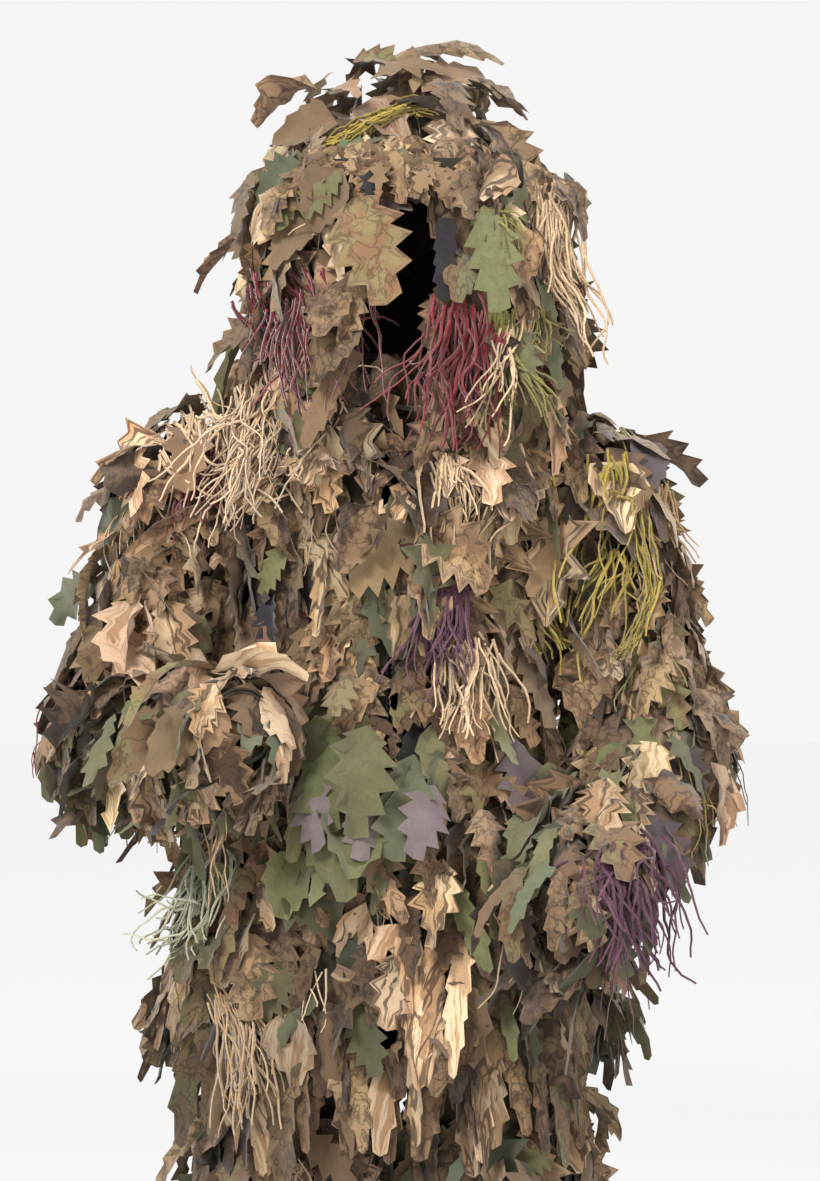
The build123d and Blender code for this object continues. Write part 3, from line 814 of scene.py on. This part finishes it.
# x, z of the sewn end, cloth, shape, length, width (mm), swing in degrees, lift, droop
KEY_LEAVES = [
    (-22, 318, "bark", "pointed", 78, 62, -15, 0.3, -0.3),
    (-42, 338, "olive", "pointed", 62, 34, 50, 0.6, -0.6),
    (60, 296, "bark", "lobed", 92, 58, -12, 0.4, -0.3),
    (-98, 232, "navy", "pointed", 56, 40, 0, 0.2, -0.3),
    (30, 236, "tan", "pointed", 44, 48, 20, 0.5, -0.4),
    (-2, 226, "olive", "pointed", 74, 34, -20, 0.3, -0.1),
    (-34, 192, "forest", "lobed", 118, 84, 24, 0.5, -0.5),
    (-104, 158, "tan", "lobed", 70, 52, 0, 0.4, -0.4),
    (56, 172, "navy", "strip", 84, 24, -4, 0.2, -0.1),
    (92, 186, "olive", "lobed", 112, 58, 6, 0.4, -0.3),
    (132, 168, "camo", "pointed", 64, 40, -10, 0.4, -0.4),
    (122, 76, "olive", "lobed", 66, 44, 10, 0.5, -0.3),
    (156, 4, "wood", "strip", 84, 26, -6, 0.4, -0.3),
    (172, -4, "wood", "strip", 78, 22, -16, 0.5, -0.4),
    (-84, -24, "bark", "lobed", 88, 58, 14, 0.8, -0.7),
    (-56, -40, "bark", "lobed", 76, 50, -22, 0.7, -0.3),
    (250, -36, "lilac", "pointed", 72, 42, -12, 0.4, -0.3),
    (32, -130, "olive", "forked", 100, 62, 4, 0.4, -0.2),
    (172, -104, "bark", "forked", 126, 100, -8, 0.3, -0.2),
    (-222, -200, "bark", "lobed", 92, 56, 10, 0.5, -0.4),
    (-186, -214, "olive", "lobed", 86, 50, -12, 0.4, -0.3),
    (-72, -312, "olive", "lobed", 122, 76, 12, 0.5, -0.4),
    (-22, -322, "olive", "lobed", 118, 72, -8, 0.6, -0.5),
    (24, -350, "sage", "lobed", 108, 64, -16, 0.4, -0.3),
    (-60, -392, "olive", "pointed", 112, 72, 18, 0.6, -0.5),
    (-10, -408, "olive", "lobed", 108, 66, -10, 0.5, -0.4),
    (-78, -376, "lilac", "lobed", 84, 56, 22, 0.9, -0.6),
    (-20, -384, "lilac", "lobed", 78, 48, -6, 0.9, -0.7),
    (44, -380, "lilac", "lobed", 88, 56, -28, 0.9, -0.7),
    (88, -404, "camo", "lobed", 76, 46, 10, 0.8, -0.5),
    (212, -372, "bark", "lobed", 78, 58, -10, 0.4, -0.2),
    (8, -446, "bark", "pointed", 96, 56, 14, 0.4, -0.2),
    (52, -452, "bark", "lobed", 92, 54, -12, 0.4, -0.2),
    (18, -528, "bark", "strip", 150, 32, 4, 0.2, -0.1),
    (46, -534, "bark", "strip", 144, 28, -4, 0.2, -0.1),
    (72, -530, "wood", "strip", 138, 26, -8, 0.3, -0.1),
    (-192, -456, "olive", "strip", 112, 28, 6, 0.5, -0.4),
    (-164, -462, "olive", "strip", 108, 24, -6, 0.4, -0.3),
    (-142, -466, "forest", "strip", 106, 28, -14, 0.4, -0.3),
    (-138, -524, "camo", "lobed", 92, 66, 6, 0.3, -0.2),
]
for x, z, kind, shape, length, width, swing, lift, droop in KEY_LEAVES:
    met = from_front(x, z)
    if met is None:
        continue
    point, normal, body = met
    add_leaf(batch_for(leaves, group_of(point, body)), point + np.array((0, -0.012, 0)),
             unit(normal + (0, -0.8, 0)), kind, shape, length / 1000, width / 1000, math.radians(swing), lift,
             droop, rng.normal(0.15, 0.4), rng.normal(0.0, 0.6), rng.uniform(0.08, 0.30), 1.05)

# x, z of the knot, colour, length (mm), strands, lean in degrees, spread, knot width (mm)
KEY_YARNS = [
    (-70, 236, "jute", 62, 30, 10, 0.4, 10),
    (168, 204, "beige", 140, 34, -6, 0.3, 14), (182, 190, "beige", 120, 20, -14, 0.3, 10),
    (100, 180, "olive", 46, 18, 20, 0.9, 8), (140, 84, "olive", 44, 14, 0, 0.9, 8),
    (-112, 104, "burgundy", 98, 42, 14, 0.5, 24), (-84, 84, "burgundy", 84, 30, -6, 0.5, 16),
    (-14, 52, "burgundy", 62, 24, 0, 0.5, 12),
    (64, 86, "burgundy", 118, 32, 0, 0.4, 14), (92, 60, "burgundy", 104, 26, -8, 0.4, 12),
    (-180, -56, "burgundy", 66, 24, 20, 0.6, 16),
    (110, 84, "olive", 104, 26, -6, 0.2, 7), (116, 70, "beige", 92, 12, -6, 0.3, 7),
    (-176, 2, "beige", 128, 46, 38, 0.9, 26), (-205, -24, "beige", 120, 36, 50, 0.9, 22),
    (-150, -10, "beige", 110, 28, 10, 0.8, 18),
    (10, -52, "beige", 72, 34, 0, 0.6, 13), (54, -66, "beige", 58, 26, -8, 0.6, 11),
    (98, -48, "beige", 104, 38, 4, 0.5, 14),
    (272, -82, "jute", 76, 24, -20, 0.8, 12),
    (54, -186, "purple", 104, 36, 0, 0.4, 12),
    (216, -68, "gold", 150, 16, 0, 0.4, 20), (232, -150, "gold", 130, 14, 8, 0.4, 16),
    (146, -198, "gold", 60, 16, 0, 0.6, 10),
    (74, -246, "beige", 76, 32, 0, 0.6, 16),
    (-182, -428, "gold", 56, 18, 30, 0.8, 12),
    (-226, -456, "pale", 112, 44, 14, 0.7, 14),
    (236, -436, "purple", 118, 46, -12, 0.7, 20), (212, -452, "purple", 96, 30, 6, 0.6, 16),
    (-158, -592, "jute", 104, 44, 8, 0.3, 13),
]
for x, z, colour, length, strands, lean, spread, width in KEY_YARNS:
    met = from_front(x, z)
    if met is None:
        continue
    point, normal, body = met
    add_yarn(batch_for(yarns, group_of(point, body)), point + np.array((0, -0.016, 0)),
             unit(normal + (0, -1.0, 0)), colour, length / 1000, int(strands * 1.5), 0.0018, spread,
             math.radians(lean), width / 1000)

# yarn that lies in ropes: x, z (millimetres) of its run, colour, strands, slack in metres
ROPES = [
    (((-84, 226), (-66, 246), (-36, 260), (-8, 276), (22, 290), (48, 282)), "gold", 34, 0.0035),
    (((-64, 214), (-50, 238), (-44, 222)), "gold", 12, 0.004),
    (((212, -90), (246, -108), (262, -190), (236, -250), (222, -262)), "gold", 14, 0.006),
    (((154, -180), (150, -214), (160, -236)), "gold", 14, 0.005),
]
for run, colour, strands, slack in ROPES:
    line, bodies = [], []
    for x, z in run:
        met = from_front(x, z)
        if met is not None:
            line.append(met[0] + np.array((0, -0.024, 0)))
            bodies.append(group_of(met[0], met[2]))
    add_rope(batch_for(yarns, bodies[0]), line, colour, strands, slack)

# ------------------------------------------------- build, attach and hide the replaced parts
LOOKS = list(KINDS.values())
leaf_objects = {group: batch.build("leaves_" + group, LOOKS) for group, batch in leaves.items()}
yarn_objects = {group: batch.build("yarn_" + group, [YARN]) for group, batch in yarns.items()}

# the body that a group rides on, the joint that it lies over (its pieces are fixed in place), and the CAD nodes
# that it stands in for
RIDES = {"jacket_back": "jacket"}
BENDS = {}
REPLACED = {"jacket_back": ["back_leaf_layer"]}
LIMB_GROUPS = {"upper_arm": "upper_sleeve", "forearm": "lower_sleeve", "thigh_leaves": "thigh",
               "shin_leaves": "shin"}


def toward(a, b, metres):
    a, b = np.array(a), np.array(b)
    return tuple(a + unit(b - a) * metres)


for side, sign in SIDES.items():
    RIDES.update({f"jacket_front_{side}": "jacket", f"hood_{side}": "hood", f"veil_{side}": "veil"})
    REPLACED.update({f"jacket_front_{side}": [f"{side}_front_leaf_layer"],
                     f"hood_{side}": [f"hood_leaf_layer_{side}"], f"veil_{side}": [f"veil_{side}_leaf_layer"]})
    for group, limb in LIMB_GROUPS.items():
        RIDES[f"{side}_{group}"] = f"{side}_{limb}"
        REPLACED[f"{side}_{group}"] = [f"{side}_{limb}_leaf_layer"]
    shoulder, hip = SHOULDER[side], HIP[side]
    BENDS[side + "_shoulder"] = ("jacket", side + "_upper_sleeve", (sign * 0.105, 0, -0.078),
                                 (sign * 0.165, 0, -0.078))
    BENDS[side + "_elbow"] = (side + "_upper_sleeve", side + "_lower_sleeve",
                              toward(ELBOW[side], shoulder, 0.06), toward(ELBOW[side], WRIST[side], 0.06))
    BENDS[side + "_hip"] = ("jacket", side + "_thigh", (hip[0], 0, -0.62), (hip[0], 0, -0.72))
    BENDS[side + "_knee"] = (side + "_thigh", side + "_shin",
                             toward(KNEE[side], hip, 0.07), toward(KNEE[side], ANKLE[side], 0.07))


def attach(obj, group):
    if group in RIDES:
        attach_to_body(obj, RIDES[group])
    else:
        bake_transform(obj)


for group, obj in leaf_objects.items():
    attach(obj, group)
    if group in REPLACED:
        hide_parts(*REPLACED[group])
for group, obj in yarn_objects.items():
    attach(obj, group)


# ------------------------------------------------------- the garment's own cloth
def folds(points):
    """Uneven creases, -1 to 1, at places given in metres."""
    x, y, z = points[..., 0], points[..., 1], points[..., 2]
    long_fold = np.sin(31 * x + 2.5 * np.sin(17 * z + 9 * y))
    cross_fold = np.sin(53 * z + 3.0 * np.sin(23 * x - 11 * y))
    fine = np.sin(88 * y + 40 * z + 2 * np.sin(61 * x))
    return (long_fold + 0.6 * cross_fold + 0.4 * fine) / 2.0


def cloth(name, grid, body, nodes, depth=0.004, skip=None, look=BASE_CLOTH):
    """Creased sheet through rows of points, pulled inward where it folds. It rides a body, or is fixed in place
    where it is given a joint.
    """
    grid = np.asarray(grid, float)
    rows, cols = grid.shape[:2]
    out = grid - grid.mean(axis=1, keepdims=True)
    out /= np.linalg.norm(out, axis=2, keepdims=True) + 1e-9
    grid = grid - out * (depth * (0.5 + 0.5 * folds(grid)))[..., None]
    faces = [(r * cols + c, r * cols + c + 1, (r + 1) * cols + c + 1, (r + 1) * cols + c)
             for r in range(rows - 1) for c in range(cols - 1)]
    flat_points = grid.reshape(-1, 3)
    if skip is not None:
        faces = [f for f in faces if not skip(flat_points[list(f)].mean(axis=0))]
    mesh = bpy.data.meshes.new(name)
    mesh.from_pydata(flat_points.tolist(), [], faces)
    mesh.validate()
    mesh.polygons.foreach_set("use_smooth", np.ones(len(mesh.polygons), bool))
    mesh.materials.append(look)
    obj = bpy.data.objects.new(name, mesh)
    bpy.context.scene.collection.objects.link(obj)
    if isinstance(body, str):
        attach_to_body(obj, body)
    else:
        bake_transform(obj)
    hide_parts(*nodes)


def ring_at(z, rings):
    """Half widths and middle of the oval at height z: rings are (z, a, b, middle x, middle y), in metres."""
    table = np.array(sorted(rings))
    return [np.interp(z, table[:, 0], table[:, i]) for i in range(1, 5)]


def oval_rows(heights, rings, start, end, cols, grow=0.0):
    """Rows of points round ovals. start and end are angles, or functions of height."""
    grid = []
    for z in heights:
        a, b, x, y = ring_at(z, rings)
        first = start(z) if callable(start) else start
        last = end(z) if callable(end) else end
        t = np.linspace(first, last, cols)
        oval = [x + (a + grow) * np.cos(t), y + (b + grow) * np.sin(t), np.full(cols, z)]
        grid.append(np.stack(oval, axis=1))
    return grid


ROW_STEP = 0.012
CORNER_PASSES = 7          # how often a bend's corner is smoothed


def tube_rows(line, radii, cols=40):
    """Rows of points round a bent line with rounded corners: a sleeve or a trouser leg."""
    line = [Vector(p) for p in line]
    path, girth = [], []
    for i in range(len(line) - 1):
        a, b = line[i], line[i + 1]
        count = max(2, int((b - a).length / ROW_STEP))
        for k in range(count):
            path.append(a.lerp(b, k / count))
            girth.append(radii[i] + (radii[i + 1] - radii[i]) * k / count)
    path.append(line[-1])
    girth.append(radii[-1])
    points = np.array(path)
    for _ in range(CORNER_PASSES):
        points[1:-1] = 0.5 * points[1:-1] + 0.25 * (points[:-2] + points[2:])
    tangent = np.gradient(points, axis=0)
    tangent /= np.linalg.norm(tangent, axis=1)[:, None]
    side = unit(np.cross(tangent[0], (0.0, 1.0, 0.0)))
    t = np.linspace(0, 2 * math.pi, cols)
    grid = []
    for p, d, r in zip(points, tangent, girth):
        side = unit(side - d * np.dot(side, d))
        other = np.cross(d, side)
        grid.append(p + (np.cos(t)[:, None] * side + np.sin(t)[:, None] * other) * r)
    return grid


FRONT = -0.5 * math.pi
BACK = 0.5 * math.pi
SIDE_SEAM = 0.02           # angle between the side seams and the X axis
FRONT_Y = -0.135
TORSO = [(z, a, b, 0.0, FRONT_Y + b) for z, a, b in (
    (-0.060, 0.150, 0.110), (-0.150, 0.148, 0.126), (-0.210, 0.142, 0.126), (-0.330, 0.147, 0.120),
    (-0.450, 0.178, 0.142), (-0.540, 0.202, 0.158), (-0.606, 0.212, 0.164))]
TORSO.append((-0.015, 0.095, 0.085, 0.0, -0.010))
torso_heights = np.linspace(-0.015, -0.606, 60)


def zip_edge(z):
    """Angle of the front's edge beside the zip."""
    return 0.0138 / ring_at(z, TORSO)[0]


def in_armhole(p):
    return abs(p[0]) > 0.10 and math.hypot(p[1], p[2] + 0.078) < 0.044


TORSO_PIECES = (
    ("jacket_back_cloth", SIDE_SEAM, math.pi - SIDE_SEAM, 90, "back_panel"),
    ("jacket_right_front_cloth", -math.pi - SIDE_SEAM, lambda z: FRONT - zip_edge(z), 48, "right_front_panel"),
    ("jacket_left_front_cloth", lambda z: FRONT + zip_edge(z), SIDE_SEAM, 48, "left_front_panel"),
)
for name, start, end, cols, node in TORSO_PIECES:
    cloth(name, oval_rows(torso_heights, TORSO, start, end, cols), "jacket", [node], skip=in_armhole)

COLLAR = [(z, 0.0935, 0.0835, 0.0, -0.010) for z in (-0.02, 0.01)]
COLLAR_GAP = 0.16
cloth("collar_cloth", oval_rows(np.linspace(0.003, -0.014, 6), COLLAR, FRONT + COLLAR_GAP,
                                1.5 * math.pi - COLLAR_GAP, 90), "jacket", ["collar_band"], 0.001)

HOOD_OUTSIDE = ((0.006, 0.116, 0.122), (0.060, 0.138, 0.136), (0.140, 0.145, 0.140), (0.220, 0.132, 0.128),
                (0.280, 0.098, 0.098), (0.315, 0.042, 0.046))
HOOD_INSET = 0.023        # depth of the leaf mass over the hood's cloth
CROWN_DROP = (0.309 - HOOD_INSET) / 0.309
HOOD = [(0.006 + (z - 0.006) * CROWN_DROP, a - HOOD_INSET, b - HOOD_INSET, 0.015, 0.010)
        for z, a, b in HOOD_OUTSIDE]
HOOD.append((0.2935, 0.003, 0.003, 0.015, 0.010))
FACE_HALF = 0.68          # half angle of the face opening
FACE_Z = (0.040, 0.216)


def hood_gap(z):
    """Half angle of the hood's front opening at height z: seams closed above and below the face."""
    return 0.004 + FACE_HALF * float(ease((z - FACE_Z[0]) / 0.012) * ease((FACE_Z[1] - z) / 0.012))


hood_heights = np.concatenate([np.linspace(0.006, 0.262, 60), np.linspace(0.266, 0.2935, 14)])
CROWN_SEAM = 0.5          # half angle of the hood's middle panel at the back
HOOD_PIECES = (
    ("hood_right_cloth", BACK + CROWN_SEAM, lambda z: 1.5 * math.pi - hood_gap(z), 44, "hood_right_panel"),
    ("hood_left_cloth", lambda z: FRONT + hood_gap(z), BACK - CROWN_SEAM, 44, "hood_left_panel"),
    ("hood_middle_cloth", BACK - CROWN_SEAM, BACK + CROWN_SEAM, 22, "hood_centre_panel"),
)
for name, start, end, cols, node in HOOD_PIECES:
    cloth(name, oval_rows(hood_heights, HOOD, start, end, cols), "hood", [node])

VEIL = [(z, *VEIL_HALF, *VEIL_MIDDLE) for z in (-0.02, 0.24)]
VEIL_CREASE = 0.005
veil_heights = np.linspace(0.207, -0.019, 40)


def veil_angle(x):
    return -math.acos(max(-1.0, min(1.0, (x - VEIL_MIDDLE[0]) / VEIL_HALF[0])))


# angles of the veil's outer edges and of the gap between its halves
VEIL_ENDS = [veil_angle(x) for x in (-0.122, -0.028, 0.050, 0.152)]
for side, first in (("right", 0), ("left", 2)):
    cloth(f"veil_{side}_cloth", oval_rows(veil_heights, VEIL, VEIL_ENDS[first], VEIL_ENDS[first + 1], 30),
          "veil", [f"veil_{side}_panel"], VEIL_CREASE, look=VEIL_MESH)
cloth("veil_brow_cloth", oval_rows(np.linspace(0.233, 0.208, 8), VEIL, VEIL_ENDS[0], VEIL_ENDS[3], 60, 0.002),
      "veil", ["veil_brow_band"], 0.0015)

SEAT = [(-0.430, 0.145, 0.108, 0.0, 0.0), (-0.500, 0.160, 0.116, 0.0, 0.0), (-0.584, 0.184, 0.120, 0.0, 0.0)]
cloth("trousers_seat_cloth", oval_rows(np.linspace(-0.430, -0.584, 22), SEAT, 0, 2 * math.pi, 110), "jacket",
      ["trousers_seat"])


LEG_COLS = 56
LEG_CREASE = 0.006


def along_line(a, b, share):
    return tuple(Vector(a).lerp(Vector(b), share))


for side, sign in SIDES.items():
    shoulder, elbow, wrist = SHOULDER[side], ELBOW[side], WRIST[side]
    hip, knee, ankle = HIP[side], KNEE[side], ANKLE[side]
    middle = along_line(shoulder, elbow, 0.55)
    armhole = (sign * 0.122, 0, -0.080)
    cloth(side + "_upper_sleeve_cloth", tube_rows([armhole, shoulder, middle], [0.044, 0.051, 0.048]),
          BENDS[side + "_shoulder"], [side + "_upper_sleeve"])
    cloth(side + "_lower_sleeve_cloth", tube_rows([middle, elbow, wrist], [0.048, 0.044, 0.036]),
          BENDS[side + "_elbow"], [side + "_lower_sleeve"])
    middle = along_line(hip, knee, 0.5)
    cloth(side + "_thigh_cloth", tube_rows([(hip[0], 0, -0.575), middle], [0.078, 0.073], LEG_COLS),
          BENDS[side + "_hip"], [side + "_thigh"], LEG_CREASE)
    cloth(side + "_shin_cloth", tube_rows([middle, knee, ankle], [0.073, 0.068, 0.056], LEG_COLS),
          BENDS[side + "_knee"], [side + "_shin"], LEG_CREASE)

# the CAD pieces that stay in sight: elastics, hanger loop and zip
for name, node in NODES.items():
    if node.hide_render:
        continue
    look = WEBBING
    if name.startswith("zip_tape"):
        look = ZIP_TAPE
    elif name.startswith("zip_teeth") or name == "zip_bottom_box":
        look = ZIP_PLASTIC
    elif name.startswith("zip_"):
        look = ZIP_METAL
    node.data.materials.clear()
    node.data.materials.append(look)


# --------------------------------------------------------- stage, light, lens
def stage_plane(name, size, location, painted_shade_near, far_colour):
    """Matt plane, darker near the object as painted shade round it, turning lighter away from the object."""
    bpy.ops.mesh.primitive_plane_add(size=size, location=location)
    obj = bpy.context.object
    obj.name = name
    material, n = new_material(name)
    coords = n.add("ShaderNodeTexCoord").outputs["Object"]
    away = n.add("ShaderNodeVectorMath", {0: coords}, operation="LENGTH").outputs["Value"]
    shade = n.ramp(n.math("MULTIPLY", away, 0.1), [(0.12, painted_shade_near), (0.75, far_colour)])
    n.surface(n.principled(shade, 0.9))
    obj.data.materials.append(material)


# the floor's darker colour near the suit is painted shade round it
stage_plane("floor", 60.0, (0, 0, -1.5), grey(0.66), grey(0.97))


def area_light(name, location, target, size, power):
    data = bpy.data.lights.new(name, "AREA")
    data.size = size
    data.energy = power
    obj = bpy.data.objects.new(name, data)
    bpy.context.scene.collection.objects.link(obj)
    obj.location = location
    obj.rotation_euler = (Vector(target) - Vector(location)).to_track_quat("-Z", "Y").to_euler()


area_light("key", (-1.6, -3.2, 2.6), (0, 0, -0.2), 1.2, 215)
area_light("fill", (2.6, -2.6, 0.8), (0, 0, -0.3), 2.4, 45)
area_light("back", (0.6, 3.0, 2.2), (0, 0, -0.2), 2.0, 60)

world = bpy.data.worlds.new("world")
bpy.context.scene.world = world
world.use_nodes = True
world.node_tree.nodes["Background"].inputs["Color"].default_value = grey(0.92)
world.node_tree.nodes["Background"].inputs["Strength"].default_value = 1.0

camera_data = bpy.data.cameras.new("camera")
camera_data.lens = 120
camera = bpy.data.objects.new("camera", camera_data)
bpy.context.scene.collection.objects.link(camera)
camera.location = (0.020, -4.0, -0.190)
camera.rotation_euler = (math.radians(90), 0, 0)
bpy.context.scene.camera = camera
